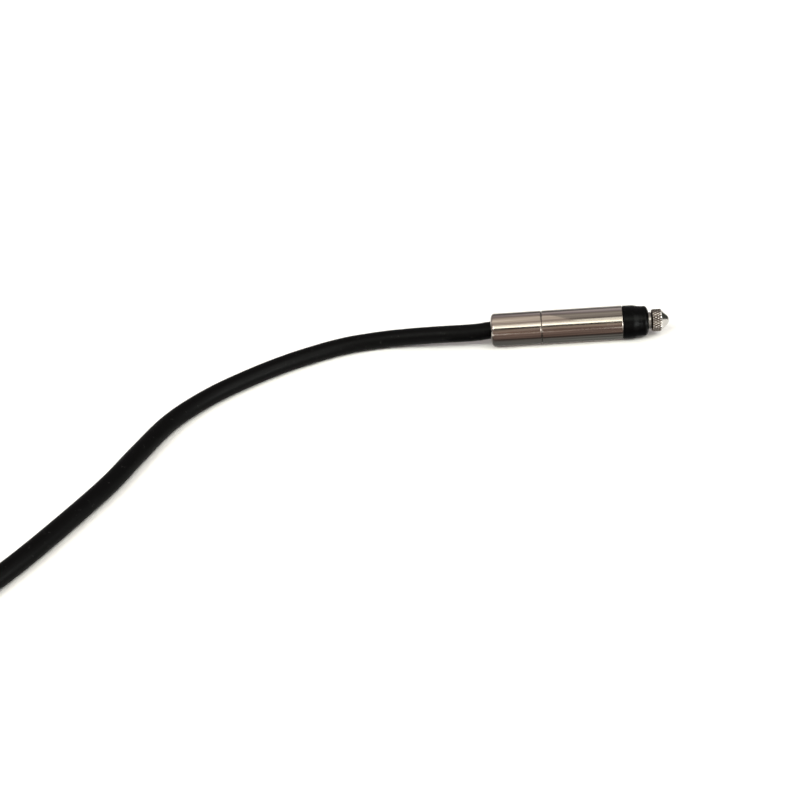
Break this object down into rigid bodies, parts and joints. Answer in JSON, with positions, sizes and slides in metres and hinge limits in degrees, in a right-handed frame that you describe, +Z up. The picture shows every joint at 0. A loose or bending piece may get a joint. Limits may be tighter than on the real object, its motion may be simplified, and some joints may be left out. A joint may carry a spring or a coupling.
{
  "type": "contact displacement sensor",
  "caption": "Slim steel gauging probe with a sprung ball-guided plunger, rubber boot, knurled ball-tipped contact and a long cable with a round plug.",
  "frame": {"origin": "on the surface the probe lies on, below the middle of the probe's length, on its axis in plan", "axes": "+X along the barrel towards the contact, +Z up from the surface, +Y to the left when looking along +X"},
  "size_m": [0.2264, 0.129, 0.0155],
  "materials": {
    "barrel_steel": "ground stainless steel with fine lengthwise lines",
    "turned_steel": "fine turned",
    "boot_rubber": "satin black",
    "bronze": "turned",
    "spring_steel": "bright drawn wire",
    "shield_alloy": "dull annealed",
    "former_plastic": "moulded",
    "copper_wire": "enamelled wire",
    "disc_laminate": "laminate",
    "gold_pins": "plated",
    "wire_insulation": "smooth",
    "seal_rubber": "matt",
    "ferrule_brass": "crimped",
    "rod_steel": "ground and polished",
    "ferrite": "sintered",
    "contact_steel": "bright, diamond knurled",
    "hard_ball": "polished",
    "cage_brass": "drilled and deburred",
    "cable_jacket": "satin black sheath",
    "tie_nylon": "moulded nylon",
    "plug_plastic": "fine grained moulding",
    "plug_steel": "nickel plated",
    "insert_plastic": "moulded",
    "relief_rubber": "satin black"
  },
  "bodies": {
    "housing": {"rear_sleeve": "barrel_steel", "front_tube": "barrel_steel", "nose_bush": "turned_steel", "boot": "boot_rubber", "stop_bush": "bronze", "spring_seat": "turned_steel", "return_spring": "spring_steel", "shield_tube": "shield_alloy", "coil_former": "former_plastic", "winding_front": "copper_wire", "winding_rear": "copper_wire", "terminal_disc": "disc_laminate", "solder_pins": "gold_pins", "lead_wires": "wire_insulation", "body_seal": "seal_rubber", "cable_seal": "seal_rubber", "cable_ferrule": "ferrule_brass", "cable_run": "cable_jacket", "cable_coil": "cable_jacket", "cable_ties": "tie_nylon", "cable_lead": "cable_jacket", "plug_body": "plug_plastic", "plug_shield": "plug_steel", "plug_insert": "insert_plastic", "plug_pins": "gold_pins", "plug_relief": "relief_rubber"},
    "plunger": {"plunger": "rod_steel", "anti_rotation_pin": "turned_steel", "core_rod": "turned_steel", "ferrite_core": "ferrite", "contact_tip": "contact_steel", "contact_ball": "hard_ball"},
    "cage": {"ball_cage": "cage_brass", "guide_balls": "hard_ball"}
  },
  "joints": [
    {"name": "plunger_slide", "type": "slide", "parent": "housing", "child": "plunger", "axis": [-1, 0, 0], "range_m": [0, 0.0016], "stiffness_N_per_m": 80, "springref_m": -0.0069, "deforming": ["boot", "return_spring"]},
    {"name": "cage_slide", "type": "slide", "parent": "housing", "child": "cage", "axis": [-1, 0, 0], "range_m": [0, 0.0008]}
  ],
  "couplings": [
    {"joint": "cage_slide", "follows": "plunger_slide", "ratio": 0.5}
  ]
}
